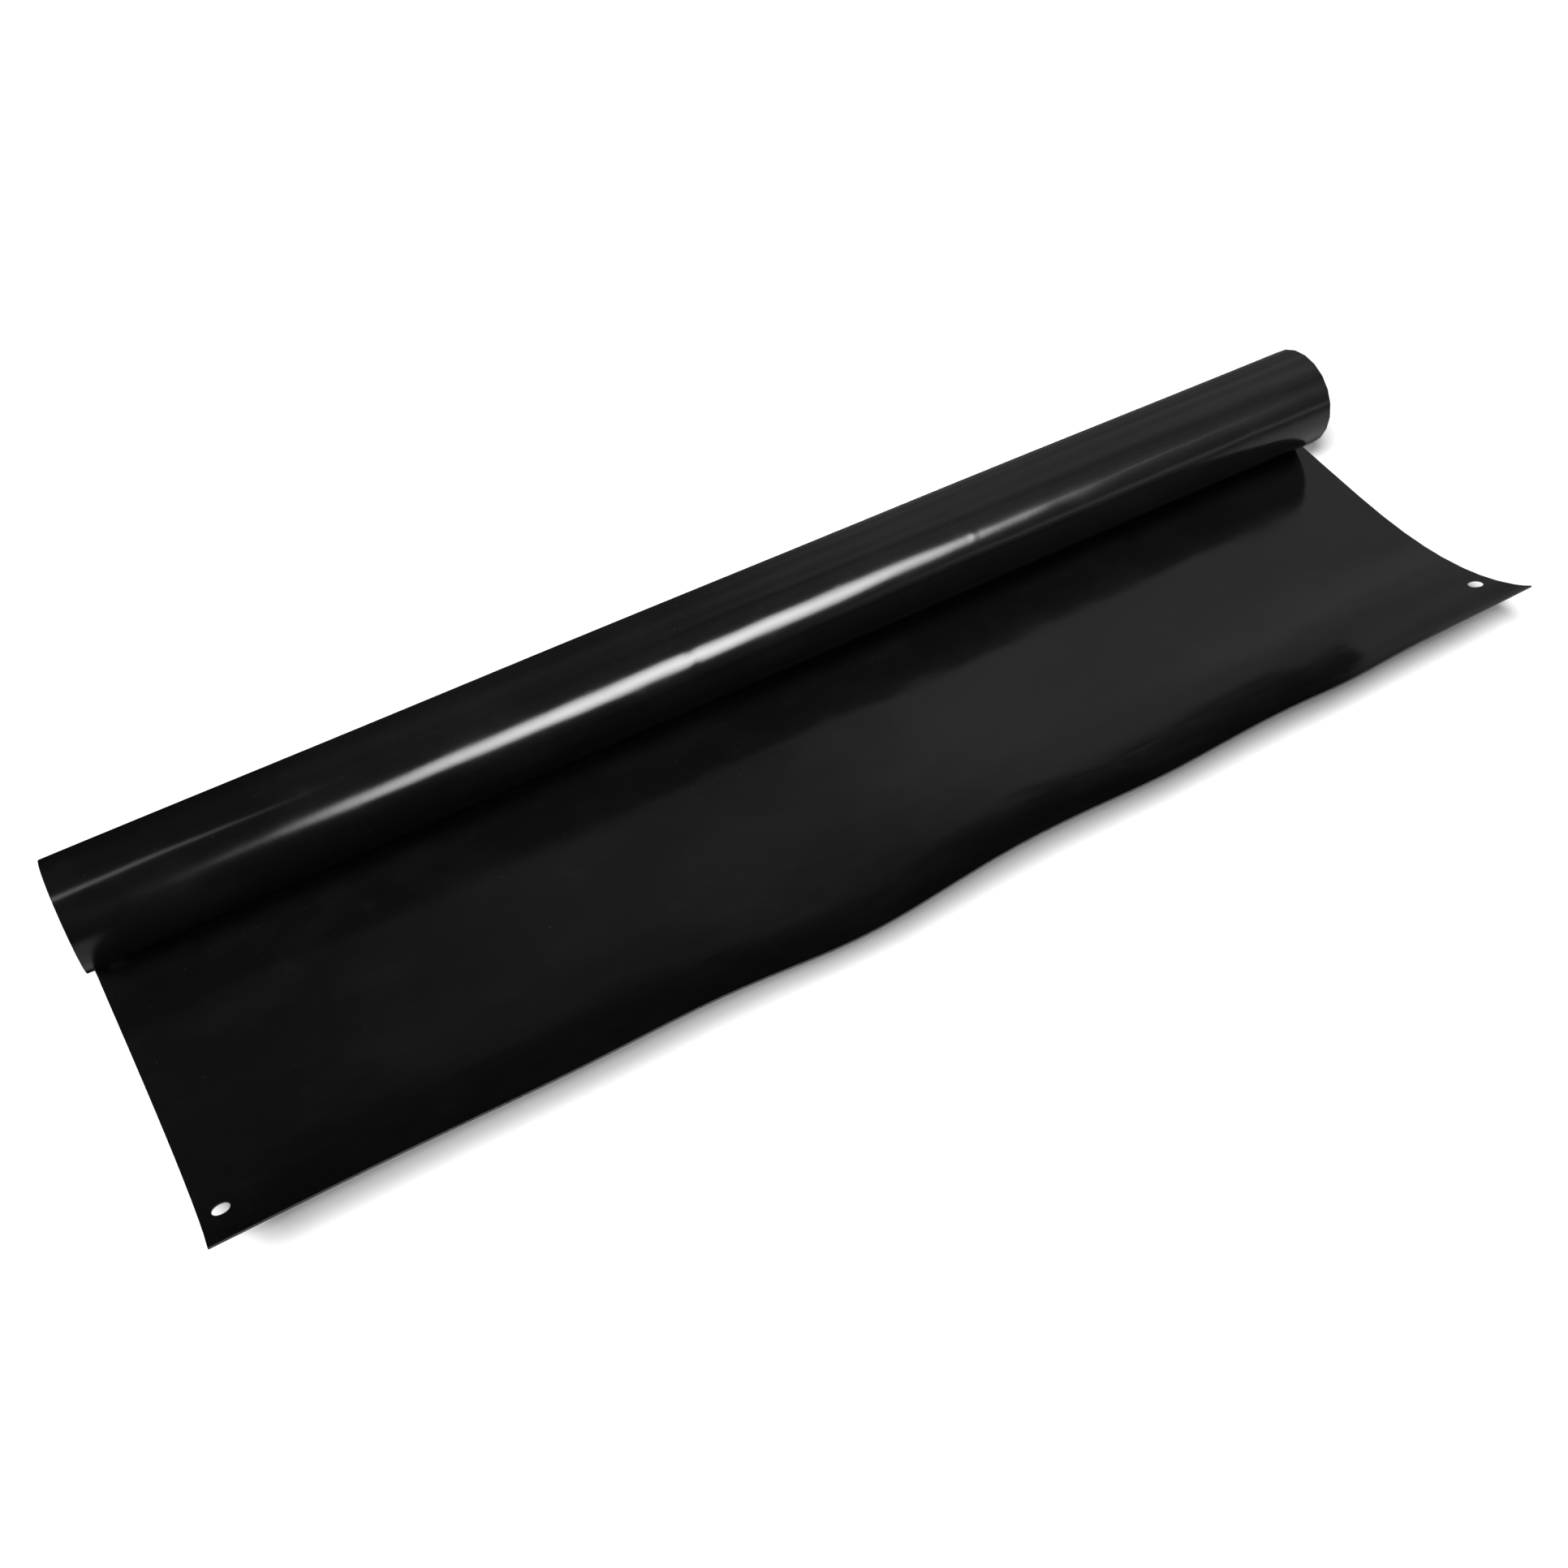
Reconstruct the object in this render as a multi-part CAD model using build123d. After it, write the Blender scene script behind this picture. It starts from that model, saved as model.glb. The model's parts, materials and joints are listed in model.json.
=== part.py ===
from build123d import *

import math
import os

# A plastic kick plate, part rolled. One rectangular sheet lies with its leaf on the floor, curls
# up at the leading edge, and is rolled up behind. The sheet bends everywhere, so it is built as
# straight strips side by side, each hinged to the next along a bend line on the hollow face.
#
# Sheet coordinate u runs across the bend lines: 0 where the roll touches the floor, positive
# towards the leading edge, negative into the roll. Flat, the sheet lies at Y = -u with its upper
# face at Z = 0. The bend lines run along X, and so does the axis of the roll.

# ---- driving dimensions, millimetres and degrees ----
PLATE_LENGTH = 762.0      # along the leading edge, 30 in
PLATE_HEIGHT = 406.4      # across, 16 in
THICKNESS = 1.0
LEAF_LENGTH = 206.4       # floor contact line to leading edge, at mid length
ROLL_RADIUS = 30.8        # outside of the roll where it leaves the floor
ROLL_TIGHTENING = 0.0105  # loss of bend radius per millimetre of sheet, so the turns clear
SKEW = 0.955              # the plate is rolled this far out of square

FLAT_RUN = 45.0           # the leaf lies flat from the contact line to here
LEAF_CURL_RATE = 4.9e-5   # rise of the leaf's curvature per millimetre past there, 1/mm2

HOLE_DIAMETER = 8.5
HOLE_FROM_SIDE = 10.0     # hole centre to the short side of the plate
HOLE_FROM_EDGE = 32.0     # hole centre to the long edge of the plate

ROLL_STRIPS = 18          # equal strips before the ones that hold the inner holes
HOLE_STRIP = 11.4         # width of a rolled strip that holds a hole
END_STRIPS = 2            # narrow strips between the inner holes and the last strip
END_STRIP = 6.0
LEAF_BENDS = (66.0, 86.0, 104.0, 120.0, 134.0, 149.5, 162.0, 174.5, 187.0, 194.5)
JOINT_GAP = 0.02          # between neighbouring strips when the sheet is flat

# ---- bend lines ----
# The two inner holes are this far apart across the bends, because of the skew. The bend line
# between their two strips runs midway between them.
CENTRE_U = LEAF_LENGTH - PLATE_HEIGHT / 2
INNER_HOLE_U = LEAF_LENGTH - PLATE_HEIGHT + HOLE_FROM_EDGE


def roll_bends():
    """u of the bend lines from the floor strip to the inner end of the roll."""
    last_plain = INNER_HOLE_U + HOLE_STRIP
    pitch = -last_plain / (ROLL_STRIPS + 0.5)
    bends = [-pitch * (n + 0.5) for n in range(ROLL_STRIPS)]
    bends += [last_plain, INNER_HOLE_U, INNER_HOLE_U - HOLE_STRIP]
    bends += [INNER_HOLE_U - HOLE_STRIP - END_STRIP * (n + 1) for n in range(END_STRIPS)]
    return bends


def tangent(u):
    """Tilt of the sheet at u, in degrees from the floor, always counted as rising."""
    if u < 0:
        start = ROLL_RADIUS - THICKNESS
        return math.degrees(math.log(start / (start + ROLL_TIGHTENING * u)) / ROLL_TIGHTENING)
    return math.degrees(LEAF_CURL_RATE * max(u - FLAT_RUN, 0) ** 2 / 2)


def bend_angles(bends, end):
    """Turn at each bend line. A strip is parallel to the sheet's tangent at its middle."""
    edges = [*bends, end]
    tilts = [0, *(tangent((a + b) / 2) for a, b in zip(edges, edges[1:]))]
    return [after - before for before, after in zip(tilts, tilts[1:])]


# ---- the flat sheet ----
def hole_centres():
    """The four corner holes, in the sheet's own square frame."""
    x = PLATE_LENGTH / 2 - HOLE_FROM_SIDE
    y = PLATE_HEIGHT / 2 - HOLE_FROM_EDGE
    return [(sx * x, sy * y) for sx in (-1, 1) for sy in (-1, 1)]


def flat_sheet():
    """The outline with its four holes, laid out flat and turned by the skew."""
    sheet = Rectangle(PLATE_LENGTH, PLATE_HEIGHT)
    for x, y in hole_centres():
        sheet -= Pos(x, y) * Circle(HOLE_DIAMETER / 2)
    return Pos(0, -CENTRE_U) * Rot(0, 0, SKEW) * sheet


def flat_strip(sheet, u_low, u_high):
    """The part of the sheet between two bend lines, as a flat plate under Z = 0."""
    middle, width = (u_low + u_high) / 2, u_high - u_low - JOINT_GAP
    band = Pos(0, -middle) * Rectangle(2 * PLATE_LENGTH, width)
    return extrude(sheet & band, amount=-THICKNESS)


def fold(u, turn):
    """Turn everything past the bend line at u, about that line."""
    return Pos(0, -u, 0) * Rot(turn, 0, 0) * Pos(0, u, 0)


def chain(prefix, bends, angles, side):
    """Name, u limits, placing and bend of each strip of one branch, from the floor strip out.

    side is +1 for the roll, which lifts the +Y side, and -1 for the leaf.
    """
    links, place = [], Location()
    beyond = -side * PLATE_HEIGHT
    for n, (u, turn) in enumerate(zip(bends, angles)):
        hinge = place * Pos(0, -u, 0)
        place = place * fold(u, side * turn)
        far = bends[n + 1] if n + 1 < len(bends) else beyond
        links.append({
            "name": f"{prefix}_{n + 1:02d}",
            "u": (min(u, far), max(u, far)),
            "place": place,
            "hinge": hinge.position,
            "turn": turn,
            "tilt": side * turn + (links[-1]["tilt"] if links else 0),
            "side": side,
        })
    return links


ROLL_BENDS = roll_bends()
END_HALF_SKEW = math.sin(math.radians(SKEW)) * PLATE_LENGTH / 2
ROLL_END = LEAF_LENGTH - PLATE_HEIGHT - END_HALF_SKEW
LEAF_END = LEAF_LENGTH + END_HALF_SKEW

ROLL = chain("roll_strip", ROLL_BENDS, bend_angles(ROLL_BENDS, ROLL_END), 1)
LEAF = chain("leaf_strip", LEAF_BENDS, bend_angles(LEAF_BENDS, LEAF_END), -1)
ROLL[-1]["name"] = "inner_edge_strip"
LEAF[-1]["name"] = "leading_edge_strip"
FLOOR = {"name": "floor_strip", "u": (ROLL_BENDS[0], LEAF_BENDS[0]), "place": Location()}


def rolled_solids():
    """Every strip in its rolled place, with the floor contact line at Y = 0 and Z = 0."""
    sheet = flat_sheet()
    lift = Pos(0, 0, THICKNESS)
    return {
        link["name"]: lift * link["place"] * flat_strip(sheet, *link["u"])
        for link in [FLOOR, *ROLL, *LEAF]
    }


def to_origin(solids):
    """Shift that puts the origin at the centre of the footprint, on the floor."""
    boxes = [solid.bounding_box() for solid in solids.values()]
    x_middle = (min(b.min.X for b in boxes) + max(b.max.X for b in boxes)) / 2
    y_middle = (min(b.min.Y for b in boxes) + max(b.max.Y for b in boxes)) / 2
    return Pos(-x_middle, -y_middle, 0)


def main():
    os.makedirs("parts", exist_ok=True)
    solids = rolled_solids()
    shift = to_origin(solids)
    for name, solid in solids.items():
        export_step(shift * solid, f"parts/{name}.step")


if __name__ == "__main__":
    main()
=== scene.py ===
import bmesh
import bpy

import json
from math import ceil, cos, exp, pi, radians, sin, tan
from mathutils import Matrix, Vector

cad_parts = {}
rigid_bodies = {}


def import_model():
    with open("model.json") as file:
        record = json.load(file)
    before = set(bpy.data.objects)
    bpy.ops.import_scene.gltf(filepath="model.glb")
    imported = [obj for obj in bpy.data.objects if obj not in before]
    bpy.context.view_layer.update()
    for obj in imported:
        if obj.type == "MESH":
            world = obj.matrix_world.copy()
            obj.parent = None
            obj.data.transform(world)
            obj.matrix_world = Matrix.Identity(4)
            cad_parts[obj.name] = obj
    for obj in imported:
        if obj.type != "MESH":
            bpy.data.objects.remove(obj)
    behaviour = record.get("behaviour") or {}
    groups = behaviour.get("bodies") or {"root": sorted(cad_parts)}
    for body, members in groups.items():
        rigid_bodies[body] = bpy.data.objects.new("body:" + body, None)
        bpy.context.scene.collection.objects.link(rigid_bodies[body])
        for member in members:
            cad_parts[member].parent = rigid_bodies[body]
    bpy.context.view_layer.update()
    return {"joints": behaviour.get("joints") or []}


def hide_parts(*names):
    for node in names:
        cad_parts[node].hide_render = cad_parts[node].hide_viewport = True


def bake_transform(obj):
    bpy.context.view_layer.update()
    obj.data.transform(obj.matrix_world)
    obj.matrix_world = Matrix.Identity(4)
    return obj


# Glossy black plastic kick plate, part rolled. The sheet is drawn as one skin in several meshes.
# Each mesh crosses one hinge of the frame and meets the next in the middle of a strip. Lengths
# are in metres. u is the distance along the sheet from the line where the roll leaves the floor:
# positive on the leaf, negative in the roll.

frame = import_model()

# ---- sizes of the sheet, as in the CAD ----
LENGTH, HEIGHT, THICKNESS = 0.762, 0.4064, 0.001
LEAF_LENGTH = 0.2064
SKEW = radians(0.955)
FLAT_RUN = 0.045
FIRST_LEAF_BEND = 0.066
HOLE_RADIUS = 0.00425
HOLE_FROM_SIDE, HOLE_FROM_EDGE = 0.010, 0.032
CENTRE_U = LEAF_LENGTH - HEIGHT / 2
WIDTH = LENGTH / cos(SKEW)

# ---- how the sheet stands off its strips ----
EDGE_LIFT = 0.0072        # of the leading edge, between its dips
EDGE_DIPS = ((-0.055, 0.045, 0.0072), (-0.200, 0.050, 0.0022), (0.125, 0.035, 0.0025),
             (0.248, 0.022, 0.0017))       # x, spread, depth
ROLL_START = -0.012       # u where the roll begins to swell and ripple
SWELLING = 0.0009         # outwards, in the middle of the roll's length. Under the thickness, so
                          # that the unrolled sheet's upper face stays above the floor
RIPPLE = 0.0004           # of the roll, along its length
RIPPLE_WAVES = ((0.28, 9.1, 60, 1.3), (0.22, 23.7, 95, 0.4))
# the waves: share of RIPPLE, radians per metre of x, radians per metre of u, phase

# ---- how finely it is drawn ----
ROW_PITCH = 0.004
CHAMFER = 0.00015         # along the free edges
HOLE_CHAMFER = 0.0001
SEAM_AT_HOLE = 0.0006     # from the bend line, where a seam passes a hole
DETOUR, DETOUR_EASE = 0.013, 0.005        # how far to each side of a hole the seam makes way
PUNCH_STEPS, PUNCH_FLARE = 48, 0.004
SHARP_ANGLE = radians(28)


# ================= shape =================
def gauss(x, centre, spread):
    return exp(-((x - centre) / spread) ** 2 / 2)


def smooth(t):
    t = min(max(t, 0), 1)
    return t * t * (3 - 2 * t)


def wave(x, u):
    """How far the sheet stands off its strips, towards the hollow face."""
    if u > FLAT_RUN:
        lift = EDGE_LIFT - sum(depth * gauss(x, at, spread) for at, spread, depth in EDGE_DIPS)
        return max(lift, 0) * min((u - FLAT_RUN) / (LEAF_LENGTH - FLAT_RUN), 1.05) ** 2.5
    if u < ROLL_START:
        ripple = 0.5
        for share, by_x, by_u, phase in RIPPLE_WAVES:
            ripple += share * sin(x * by_x + u * by_u + phase)
        loose = SWELLING * (1 - (x / 0.40) ** 2) * smooth((0.150 + u) / 0.06)
        return (RIPPLE * ripple * smooth((0.17 + u) / 0.05) - loose) * smooth((ROLL_START - u) / 0.045)
    return 0.0


def left_side(u):
    """X of the sheet's left side. The skew turns the sheet about its own middle."""
    return -WIDTH / 2 + (u - CENTRE_U) * tan(SKEW)


def edge_u(v, side):
    """u of the sheet's free edge, at share v of the way from left to right."""
    across = side * HEIGHT / 2 / cos(SKEW) - tan(SKEW) * WIDTH * (v - 0.5)
    return CENTRE_U + across * cos(SKEW) ** 2


def branch(first, side):
    """Bend lines of the roll (side -1) or the leaf (side +1), read from the frame's joints."""
    found, parent = [], "floor_strip"
    joints = {j["parent"]: j for j in frame["joints"] if (j["name"].startswith("leaf")) == (side > 0)}
    tilt, u, last = 0.0, first, None
    while parent in joints:
        j = joints[parent]
        corner = Vector((0, j["pos_m"][1], j["pos_m"][2]))
        if last is not None:
            u += side * (corner - last).length
        turn = radians(j["range_deg"][1])
        found.append({"parent": parent, "child": j["child"], "u": u, "corner": corner,
                      "before": tilt, "after": tilt + turn})
        tilt, last, parent = tilt + turn, corner, j["child"]
    return found


leaf_start = next(j for j in frame["joints"] if j["name"] == "leaf_bend_01")["pos_m"][1]
roll_start = next(j for j in frame["joints"] if j["name"] == "unroll")["pos_m"][1]
CONTACT_Y = leaf_start + FIRST_LEAF_BEND
LEAF = branch(FIRST_LEAF_BEND, 1)
ROLL = branch(CONTACT_Y - roll_start, -1)

HOLES = []
for sx in (-1, 1):
    for sy in (-1, 1):
        px = sx * (LENGTH / 2 - HOLE_FROM_SIDE)
        py = sy * (HEIGHT / 2 - HOLE_FROM_EDGE)
        HOLES.append((px * cos(SKEW) - py * sin(SKEW),
                      CENTRE_U - px * sin(SKEW) - py * cos(SKEW)))


def along(tilt, side):
    """Direction in which the sheet runs on, for a strip at this tilt."""
    return Vector((0, -side * cos(tilt), sin(tilt)))


def up_from(tilt, side):
    """Direction out of the sheet's hollow face."""
    return Vector((0, side * sin(tilt), cos(tilt)))


ROW_COUNT = ceil(WIDTH / ROW_PITCH)
ROWS = [i / ROW_COUNT for i in range(ROW_COUNT + 1)]      # shares of the way from left to right


def column(bend, side, kind, us, inset=0.0):
    """One loop of points round the sheet's section, at distance u[i] along the sheet for row i.

    kind -1: on the strip before the bend line, 0: on the bend line, +1: on the strip after it.
    inset draws the loop in, for the last step of a rounded edge.
    """
    tilt = (bend["before"], (bend["before"] + bend["after"]) / 2, bend["after"])[kind + 1]
    out = up_from(tilt, side)
    run = along(tilt, side)
    half = (bend["after"] - bend["before"]) / 2
    stretch = 1 / cos(half) if kind == 0 else 1

    def point(i, x, depth):
        u = us[i]
        base = bend["corner"] + run * (side * (u - bend["u"]) if kind else 0)
        off = (lifts[i] - depth) * stretch
        return Vector((x, 0, 0)) + base + out * off

    xs = [left_side(us[i]) + v * WIDTH for i, v in enumerate(ROWS)]
    lifts = [lift_at(bend, side, x, us[i]) for i, x in enumerate(xs)]
    last = len(ROWS) - 1
    low, high = inset, THICKNESS - inset
    shift = [0.0] * len(xs)
    shift[0], shift[last] = CHAMFER, -CHAMFER
    top = [point(i, xs[i] + shift[i], low) for i in range(last + 1)]
    bottom = [point(i, xs[i] + shift[i], high) for i in range(last, -1, -1)]
    pull = inset * 0.6
    right = [point(last, xs[last] - pull, CHAMFER + inset * 0.5),
             point(last, xs[last] - pull, THICKNESS - CHAMFER - inset * 0.5)]
    left = [point(0, xs[0] + pull, THICKNESS - CHAMFER - inset * 0.5),
            point(0, xs[0] + pull, CHAMFER + inset * 0.5)]
    marks = ([(xs[i], us[i]) for i in range(last + 1)] + [(xs[last], us[last])] * 2
             + [(xs[i], us[i]) for i in range(last, -1, -1)] + [(xs[0], us[0])] * 2)
    return top + right + bottom + left, marks


def lift_at(bend, side, x, u):
    """wave() at the bend lines, and straight between them, so that each strip stays flat across."""
    chain = ROLL if side < 0 else LEAF
    here = chain.index(bend)
    s = side * (u - bend["u"])
    if s >= 0:
        a = bend["u"]
        b = chain[here + 1]["u"] if here + 1 < len(chain) else edge_u(0.0 if side > 0 else 1.0, side)
    else:
        a = chain[here - 1]["u"] if here else (ROLL if side > 0 else LEAF)[0]["u"]
        b = bend["u"]
    t = (u - a) / (b - a)
    return wave(x, a) * (1 - t) + wave(x, b) * t


def seam(a, b, near):
    """u of a seam between two bend lines, row by row: halfway, but past a hole close to `near`."""
    middle = (a + b) / 2
    beside = near + SEAM_AT_HOLE * (1 if middle > near else -1)
    us = []
    for v in ROWS:
        x = left_side(middle) + v * WIDTH
        close = 0.0
        for hx, hu in HOLES:
            if min(a, b) < hu < max(a, b):
                close = max(close, smooth((DETOUR - abs(x - hx)) / DETOUR_EASE))
        us.append(middle + (beside - middle) * close)
    return us


def flat_us(u):
    return [u] * len(ROWS)


def mix(a, b, t):
    return [p + (q - p) * t for p, q in zip(a, b)]


def make_piece(name, bend, side, start, end, free):
    """The closed length of sheet from the seam `start` over one bend line to `end`.

    free is true where `end` is the sheet's own edge, which gets its corners taken off.
    """
    here = flat_us(bend["u"])
    columns = [column(bend, side, -1, start), column(bend, side, 0, here)]
    if free:
        inner = [u - side * CHAMFER for u in end]
        for t in (0.35, 0.7, 1.0):
            columns.append(column(bend, side, 1, mix(here, inner, t)))
        columns.append(column(bend, side, 1, end, inset=CHAMFER))
    else:
        columns.append(column(bend, side, 1, end))

    ring = len(columns[0][0])
    n = len(ROWS)
    points = [p for loop, _ in columns for p in loop]
    marks = [m for _, loop in columns for m in loop]
    faces, edge = [], []
    for c in range(len(columns) - 1):
        for k in range(ring):
            m = (k + 1) % ring
            faces.append((c * ring + k, c * ring + m, (c + 1) * ring + m, (c + 1) * ring + k))
            edge.append(not (k < n - 1 or n + 2 <= k < 2 * n + 1) or (free and c == len(columns) - 2))
    for c in (0, len(columns) - 1):
        base = c * ring
        caps = [(i, i + 1, 2 * n - i, 2 * n + 1 - i) for i in range(n - 1)]
        caps += [(n - 1, n, n + 1, n + 2), (2 * n + 1, 2 * n + 2, 2 * n + 3, 0)]
        for f in caps:
            f = f[::-1] if c == 0 else f
            faces.append(tuple(base + i for i in f))
            edge.append(True)
    if side > 0:
        faces = [f[::-1] for f in faces]
    mesh = bpy.data.meshes.new(name)
    mesh.from_pydata([tuple(p) for p in points], [], [f[::-1] for f in faces])
    uv = mesh.uv_layers.new(name="sheet")
    for loop in mesh.loops:
        uv.data[loop.index].uv = marks[loop.vertex_index]
    for poly, is_edge in zip(mesh.polygons, edge):
        poly.material_index = 1 if is_edge else 0
    mesh.update()
    obj = bpy.data.objects.new(name, mesh)
    bpy.context.scene.collection.objects.link(obj)
    return obj


def punch(obj, bend, side, kind, hx, hu):
    """Cuts one round hole, square to the strip it is in, with its rim taken off."""
    tilt = bend["before"] if kind < 0 else bend["after"]
    out, run = up_from(tilt, side), along(tilt, side)
    centre = Vector((hx, 0, 0)) + bend["corner"] + run * (side * (hu - bend["u"]))
    centre += out * (lift_at(bend, side, hx, hu) - THICKNESS / 2)
    wide = HOLE_RADIUS + PUNCH_FLARE
    wall = THICKNESS / 2 - HOLE_CHAMFER
    profile = [(wide, wall + PUNCH_FLARE), (HOLE_RADIUS, wall),
               (HOLE_RADIUS, -wall), (wide, -wall - PUNCH_FLARE)]
    points, faces = [], []
    for k in range(PUNCH_STEPS):
        angle = radians(360 * k / PUNCH_STEPS)
        for r, h in profile:
            p = centre + Vector((r * cos(angle), 0, 0)) + run * (r * sin(angle)) + out * h
            points.append(tuple(p))
    for k in range(PUNCH_STEPS):
        a, b = 4 * k, 4 * ((k + 1) % PUNCH_STEPS)
        for i in range(3):
            faces.append((a + i, a + i + 1, b + i + 1, b + i))
    faces.append([4 * k for k in range(PUNCH_STEPS)])
    faces.append([4 * k + 3 for k in reversed(range(PUNCH_STEPS))])
    mesh = bpy.data.meshes.new("punch")
    mesh.from_pydata(points, [], faces)
    for slot in range(2):
        mesh.materials.append(None)
    for poly in mesh.polygons:
        poly.material_index = 1        # the wall of the hole is cut edge
    mesh.update()
    bm = bmesh.new()
    bm.from_mesh(mesh)
    bmesh.ops.recalc_face_normals(bm, faces=bm.faces)
    bm.to_mesh(mesh)
    bm.free()
    tool = bpy.data.objects.new("punch", mesh)
    bpy.context.scene.collection.objects.link(tool)
    cut = obj.modifiers.new("hole", "BOOLEAN")
    cut.operation, cut.object, cut.solver = "DIFFERENCE", tool, "EXACT"
    cut.material_mode = "INDEX"
    bpy.context.view_layer.update()
    done = bpy.data.meshes.new_from_object(obj.evaluated_get(bpy.context.evaluated_depsgraph_get()))
    obj.modifiers.clear()
    old, obj.data = obj.data, done
    bpy.data.meshes.remove(old)
    bpy.data.objects.remove(tool)
    bpy.data.meshes.remove(mesh)


def build_branch(prefix, chain, side, other, materials):
    """The pieces from the middle of the floor strip to the free edge, one to each bend line."""
    made = []
    start = flat_us((chain[0]["u"] + other[0]["u"]) / 2)
    for k, bend in enumerate(chain):
        free = k == len(chain) - 1
        if free:
            end = [edge_u(v, side) for v in ROWS]
        else:
            end = seam(bend["u"], chain[k + 1]["u"], bend["u"])
        piece = make_piece(f"sheet_{prefix}_{k + 1:02d}", bend, side, start, end, free)
        for m in materials:
            piece.data.materials.append(m)
        for hx, hu in HOLES:
            if k and min(bend["u"], chain[k - 1]["u"]) < hu < max(bend["u"], chain[k - 1]["u"]):
                punch(piece, bend, side, -1, hx, hu)
        for poly in piece.data.polygons:
            poly.use_smooth = True
        piece.data.set_sharp_from_angle(angle=SHARP_ANGLE)
        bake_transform(piece)
        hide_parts(bend["child"])
        made.append(piece)
        start = end
    return made


# ================= materials =================
def node(tree, kind, **values):
    n = tree.nodes.new(kind)
    for key, value in values.items():
        if key in n.inputs:
            n.inputs[key].default_value = value
        else:
            setattr(n, key, value)
    return n


def link(tree, a, out, b, into):
    tree.links.new(a.outputs[out], b.inputs[into])


def noise(tree, coords, scale, detail, stretch=(1, 1)):
    """Noise over the sheet. scale is per metre, and stretch changes it along the length and across."""
    place = node(tree, "ShaderNodeMapping")
    place.inputs["Scale"].default_value = (scale * stretch[0], scale * stretch[1], 1)
    link(tree, coords, "UV", place, "Vector")
    n = node(tree, "ShaderNodeTexNoise", Scale=1.0, Detail=detail, Roughness=0.55)
    link(tree, place, "Vector", n, "Vector")
    return n


def ramp(tree, source, out, stops):
    r = node(tree, "ShaderNodeValToRGB")
    elements = r.color_ramp.elements
    while len(elements) < len(stops):
        elements.new(0.5)
    for e, (at, value) in zip(elements, stops):
        e.position = at
        e.color = (value, value, value, 1) if isinstance(value, float) else (*value, 1)
    link(tree, source, out, r, "Fac")
    return r


def maths(tree, operation, a, b):
    n = node(tree, "ShaderNodeMath", operation=operation)
    for i, value in enumerate((a, b)):
        if isinstance(value, (int, float)):
            n.inputs[i].default_value = value
        else:
            tree.links.new(value, n.inputs[i])
    return n.outputs[0]


def dent(tree, coords, x, u, wide):
    """1 at a point of the sheet, falling off to nothing round it."""
    away = node(tree, "ShaderNodeVectorMath", operation="SUBTRACT")
    link(tree, coords, "UV", away, 0)
    away.inputs[1].default_value = (x, u, 0)
    share = node(tree, "ShaderNodeVectorMath", operation="DIVIDE")
    link(tree, away, 0, share, 0)
    share.inputs[1].default_value = (wide, wide * 1.5, 1)
    square = node(tree, "ShaderNodeVectorMath", operation="DOT_PRODUCT")
    link(tree, share, 0, square, 0)
    link(tree, share, 0, square, 1)
    return maths(tree, "EXPONENT", maths(tree, "MULTIPLY", square.outputs["Value"], -1.0), 0.0)


# The two small kinks along the top of the roll: x, u, half width and depth, the last in bump units.
DENTS = ((-0.052, -0.1147, 0.0030, 0.11), (0.125, -0.1116, 0.0025, 0.06))


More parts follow.
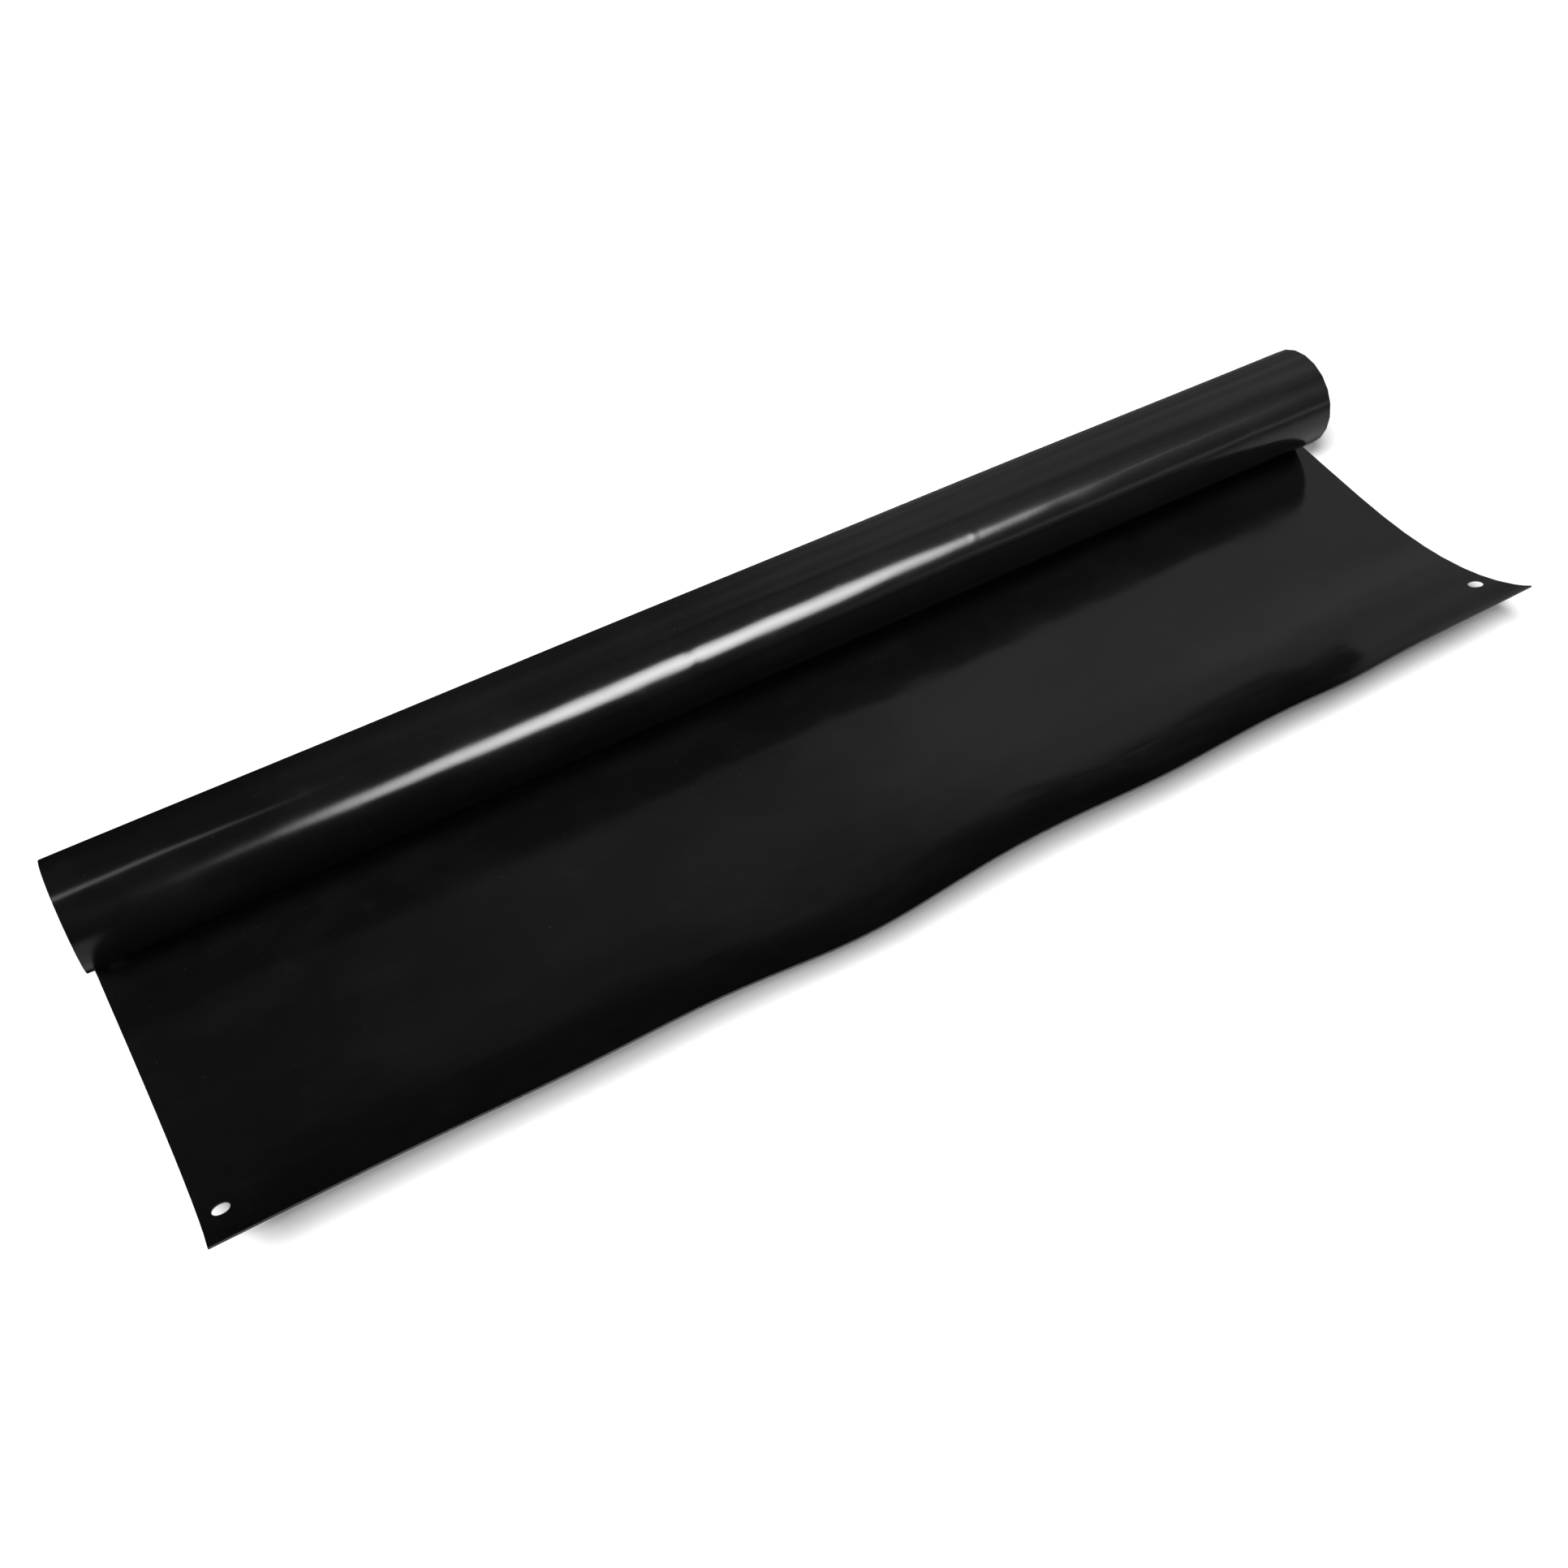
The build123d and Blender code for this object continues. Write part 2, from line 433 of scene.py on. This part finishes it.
def plastic(name, cut_edge):
    """Black plastic sheet: a polished face, or the sheared edge, which is duller and greyer."""
    mat = bpy.data.materials.new(name)
    mat.use_nodes = True
    tree = mat.node_tree
    tree.nodes.clear()
    shader = node(tree, "ShaderNodeBsdfPrincipled")
    shader.inputs["IOR"].default_value = 1.52
    output = node(tree, "ShaderNodeOutputMaterial")
    link(tree, shader, "BSDF", output, "Surface")
    coords = node(tree, "ShaderNodeUVMap", uv_map="sheet")
    if cut_edge:
        grain = noise(tree, coords, 1400, 3, (1, 0.3))
        colour = ramp(tree, grain, "Fac", ((0.3, (0.014, 0.014, 0.015)), (0.75, (0.04, 0.04, 0.042))))
        link(tree, colour, "Color", shader, "Base Color")
        rough = ramp(tree, grain, "Fac", ((0.3, 0.32), (0.7, 0.5)))
        link(tree, rough, "Color", shader, "Roughness")
        bump = node(tree, "ShaderNodeBump", Strength=0.25, Distance=0.0001)
        link(tree, grain, "Fac", bump, "Height")
        link(tree, bump, "Normal", shader, "Normal")
        return mat

    clouds = noise(tree, coords, 16, 3, (1, 1.6))       # faint haze from handling
    prints = noise(tree, coords, 55, 5)                 # small smudges
    dust = noise(tree, coords, 900, 2)                  # fine specks
    hazy = ramp(tree, clouds, "Fac", ((0.46, 0.0), (0.72, 1.0)))
    smudged = ramp(tree, prints, "Fac", ((0.6, 0.0), (0.74, 1.0)))
    specks = ramp(tree, dust, "Fac", ((0.735, 0.0), (0.78, 1.0)))
    marks = maths(tree, "ADD", maths(tree, "MULTIPLY", hazy.outputs["Color"], 0.6),
                  maths(tree, "MULTIPLY", smudged.outputs["Color"], 0.4))
    rough = maths(tree, "MULTIPLY_ADD", marks, 0.07)
    rough.node.inputs[2].default_value = 0.14
    rough = maths(tree, "ADD", rough, maths(tree, "MULTIPLY", specks.outputs["Color"], 0.35))
    tree.links.new(rough, shader.inputs["Roughness"])

    grey = node(tree, "ShaderNodeMix", data_type="RGBA", blend_type="MIX")
    grey.inputs["A"].default_value = (0.0029, 0.0029, 0.0030, 1)
    grey.inputs["B"].default_value = (0.0056, 0.0056, 0.0058, 1)
    tree.links.new(marks, grey.inputs["Factor"])
    dusty = node(tree, "ShaderNodeMix", data_type="RGBA", blend_type="MIX")
    dusty.inputs["B"].default_value = (0.09, 0.09, 0.09, 1)
    tree.links.new(grey.outputs["Result"], dusty.inputs["A"])
    tree.links.new(maths(tree, "MULTIPLY", specks.outputs["Color"], 0.5), dusty.inputs["Factor"])
    tree.links.new(dusty.outputs["Result"], shader.inputs["Base Color"])

    swell = noise(tree, coords, 9, 2, (1, 2.2))         # the slow unevenness of a rolled sheet
    peel = noise(tree, coords, 210, 2)                  # faint surface texture
    scratch = noise(tree, coords, 60, 4, (1, 26))
    fine = ramp(tree, scratch, "Fac", ((0.68, 0.0), (0.72, 1.0)))
    height = maths(tree, "MULTIPLY_ADD", swell.outputs["Fac"], 1.0)
    tree.links.new(maths(tree, "MULTIPLY", peel.outputs["Fac"], 0.012), height.node.inputs[2])
    height = maths(tree, "SUBTRACT", height, maths(tree, "MULTIPLY", fine.outputs["Color"], 0.004))
    for x, u, wide, depth in DENTS:
        hollow = maths(tree, "MULTIPLY", dent(tree, coords, x, u, wide), depth)
        height = maths(tree, "SUBTRACT", height, hollow)
    bump = node(tree, "ShaderNodeBump", Strength=1.0, Distance=0.0011)
    tree.links.new(height, bump.inputs["Height"])
    link(tree, bump, "Normal", shader, "Normal")
    return mat


# ---- the plate ----
FACE = plastic("black_plastic_face", False)
CUT = plastic("black_plastic_cut_edge", True)

build_branch("leaf", LEAF, 1, ROLL, (FACE, CUT))
roll_pieces = build_branch("roll", ROLL, -1, LEAF, (FACE, CUT))
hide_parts("floor_strip")


# ================= floor, light and camera =================
def floor_material():
    mat = bpy.data.materials.new("studio_floor")
    mat.use_nodes = True
    tree = mat.node_tree
    shader = tree.nodes["Principled BSDF"]
    shader.inputs["Specular IOR Level"].default_value = 0.2
    coords = node(tree, "ShaderNodeTexCoord")
    n = node(tree, "ShaderNodeTexNoise", Scale=14.0, Detail=4.0)
    link(tree, coords, "Object", n, "Vector")
    shade = ramp(tree, n, "Fac", ((0.3, (0.90, 0.90, 0.90)), (0.7, (0.92, 0.92, 0.92))))
    link(tree, shade, "Color", shader, "Base Color")
    rough = ramp(tree, n, "Fac", ((0.3, 0.6), (0.7, 0.7)))
    link(tree, rough, "Color", shader, "Roughness")
    return mat


def flat_plate(name, half, z):
    mesh = bpy.data.meshes.new(name)
    mesh.from_pydata([(-half, -half, z), (half, -half, z), (half, half, z), (-half, half, z)],
                     [], [(0, 1, 2, 3)])
    obj = bpy.data.objects.new(name, mesh)
    bpy.context.scene.collection.objects.link(obj)
    return obj


FLOOR_HALF, FLOOR_Z = 6.0, -0.0001        # just under the plate, so that their faces don't coincide
floor = flat_plate("studio_floor", FLOOR_HALF, FLOOR_Z)
floor.data.materials.append(floor_material())
floor.visible_glossy = False      # the studio round it is what the gloss shows


def studio_light(name, data, at, aim, glossy, long_side=(1, 0, 0)):
    """A light that shows in the gloss, or one that only lights the floor and the plate's colour."""
    obj = bpy.data.objects.new(name, data)
    bpy.context.scene.collection.objects.link(obj)
    obj.location = at
    back = (Vector(at) - Vector(aim)).normalized()
    wide = (Vector(long_side) - back * back.dot(Vector(long_side))).normalized()
    obj.rotation_euler = Matrix((wide, back.cross(wide), back)).transposed().to_euler()
    obj.visible_glossy = glossy
    obj.visible_diffuse = not glossy
    obj.visible_camera = False
    return obj


FIRST_REFLECTION = 2.5    # ray depth: 1 or 2 at the first surface that the camera sees, more after that


def first_reflection_only(tree):
    """Fades an area light towards its rim, and hides it in a reflection of a reflection."""
    spot = node(tree, "ShaderNodeNewGeometry")
    off = node(tree, "ShaderNodeVectorMath", operation="DISTANCE")
    link(tree, spot, "Parametric", off, 0)
    off.inputs[1].default_value = (0.5, 0.5, 0)
    share = maths(tree, "MULTIPLY", off.outputs["Value"], 2.0)
    fade = maths(tree, "SUBTRACT", 1.0, maths(tree, "MULTIPLY", share, share))
    fade = maths(tree, "MAXIMUM", fade, 0.0)
    path = node(tree, "ShaderNodeLightPath")
    early = maths(tree, "LESS_THAN", path.outputs["Ray Depth"], FIRST_REFLECTION)
    tree.links.new(maths(tree, "MULTIPLY", fade, early), tree.nodes["Emission"].inputs["Strength"])


def panel(name, at, aim, size, brightness, glossy, long_side=(1, 0, 0)):
    data = bpy.data.lights.new(name, "AREA")
    data.shape = "ELLIPSE" if glossy else "RECTANGLE"
    data.size, data.size_y = size
    data.energy = brightness * pi * size[0] * size[1]
    if glossy:
        data.cycles.max_bounces = 0
        data.use_nodes = True
        first_reflection_only(data.node_tree)
    return studio_light(name, data, at, aim, glossy, long_side)


def studio_world():
    """What the gloss reflects: a dim room, with a pale floor and a low line of light in front.

    It is brighter towards +X and overhead. The camera itself sees a plain pale backdrop.
    """
    world = bpy.data.worlds.new("studio")
    bpy.context.scene.world = world
    world.use_nodes = True
    tree = world.node_tree
    background = tree.nodes["Background"]
    coords = node(tree, "ShaderNodeTexCoord")
    axes = node(tree, "ShaderNodeSeparateXYZ")
    link(tree, coords, "Generated", axes, "Vector")

    def graded(axis, low, high, stops):
        part = node(tree, "ShaderNodeMapRange")
        link(tree, axes, axis, part, "Value")
        part.inputs["From Min"].default_value = low
        part.inputs["From Max"].default_value = high
        return ramp(tree, part, "Result", stops).outputs["Color"]

    rightward = graded("X", -0.2, 0.6, (
        (0.30, 0.03), (0.41, 0.10), (0.64, 0.17), (0.70, 0.33), (0.75, 0.45), (1.0, 0.48)))
    height = graded("Z", -0.4, 0.9, ((0.2, 0.24), (0.55, 0.5), (0.8, 1.0)))
    clouds = node(tree, "ShaderNodeTexNoise", Scale=3.2, Detail=2.0)
    link(tree, coords, "Generated", clouds, "Vector")
    cloudy = ramp(tree, clouds, "Fac", ((0.35, 0.72), (0.65, 1.2))).outputs["Color"]
    above = graded("Y", -0.4, 0.4, ((0.3, 0.85), (0.42, 0.65), (0.56, 0.65), (0.72, 1.0)))
    room = maths(tree, "MULTIPLY", maths(tree, "MULTIPLY", rightward, height), cloudy)
    slanted = node(tree, "ShaderNodeMapRange")
    across = maths(tree, "MULTIPLY_ADD", axes.outputs["X"], 1.09)
    tree.links.new(axes.outputs["Y"], across.node.inputs[2])
    tree.links.new(across, slanted.inputs["Value"])
    slanted.inputs["From Min"].default_value = 0.2
    slanted.inputs["From Max"].default_value = 0.75
    beam = ramp(tree, slanted, "Result", (
        (0.1, 1.0), (0.32, 0.95), (0.47, 0.5), (0.6, 0.8), (0.9, 1.0)))
    room = maths(tree, "MULTIPLY", room, maths(tree, "MULTIPLY", above, beam.outputs["Color"]))
    front = graded("Y", -0.25, 0.15, ((0.0, 1.0), (1.0, 0.0)))
    under = graded("Z", -0.25, 0.0, ((0.0, 1.0), (1.0, 0.0)))
    pale = maths(tree, "MULTIPLY", maths(tree, "MULTIPLY", front, under), 0.45)
    skirting = graded("Z", 0.0, 0.25, ((0.18, 0.0), (0.46, 1.0), (0.76, 0.0)))
    to_right = graded("X", 0.3, 0.6, ((0.2, 0.0), (0.6, 0.5), (1.0, 0.6)))
    behind = graded("Y", -0.85, -0.4, ((0.2, 1.0), (1.0, 0.0)))
    line = maths(tree, "MULTIPLY", skirting, maths(tree, "MULTIPLY", to_right, behind))
    room = maths(tree, "ADD", room, line)
    room = maths(tree, "ADD", room, pale)
    seen = node(tree, "ShaderNodeLightPath").outputs["Is Camera Ray"]
    room = maths(tree, "MULTIPLY", room, maths(tree, "SUBTRACT", 1.0, seen))
    room = maths(tree, "ADD", room, maths(tree, "MULTIPLY", seen, 0.9))
    tree.links.new(room, background.inputs["Strength"])
    background.inputs["Color"].default_value = (1, 1, 1, 1)


studio_world()
sun = bpy.data.lights.new("overhead", "SUN")
sun.energy, sun.angle = 3.95, radians(26)
studio_light("overhead", sun, (-0.50, -0.21, 1.0), (0, 0, 0), False)

# ---- camera, at the eye point and the angles from which the plate is seen ----
EYE = Vector((-0.32534, CONTACT_Y - 0.56779, 0.74528))
YAW, PITCH, ROLL_ANGLE = radians(31.123), radians(-52.665), radians(1.097)
ahead = Vector((sin(YAW) * cos(PITCH), cos(YAW) * cos(PITCH), sin(PITCH)))
level = Vector((cos(YAW), -sin(YAW), 0))
upright = level.cross(ahead)
right = level * cos(ROLL_ANGLE) + upright * sin(ROLL_ANGLE)
up = upright * cos(ROLL_ANGLE) - level * sin(ROLL_ANGLE)
camera_data = bpy.data.cameras.new("camera")
camera_data.lens = 40.64
camera_data.sensor_width = 36
camera = bpy.data.objects.new("camera", camera_data)
bpy.context.scene.collection.objects.link(camera)
camera.matrix_world = Matrix((
    (right.x, up.x, -ahead.x, EYE.x),
    (right.y, up.y, -ahead.y, EYE.y),
    (right.z, up.z, -ahead.z, EYE.z),
    (0, 0, 0, 1)))
bpy.context.scene.camera = camera

panel("fill_by_camera", EYE - ahead * 0.2, (0, 0, 0), (0.2, 0.2), 40, False)

# The long window of light in the roll, and the short thin one above it.
ROLL_Y = CONTACT_Y + 0.0008
SLOPE = (1.12, 0.18, 0.235)
panel("window", (0.305, ROLL_Y - 0.937, 0.80), (0.305, ROLL_Y, 0.052), (1.14, 0.74), 14.5, True, SLOPE)
panel("window_end", (0.52, ROLL_Y - 0.94, 0.84), (0.52, ROLL_Y, 0.052), (1.6, 0.12), 1.4, True, SLOPE)
panel("top_strip", (-0.75, ROLL_Y - 0.03, 1.25), (-0.75, ROLL_Y, 0.057), (1.15, 0.24), 2.6, True)
bpy.context.scene.view_settings.view_transform = "Standard"
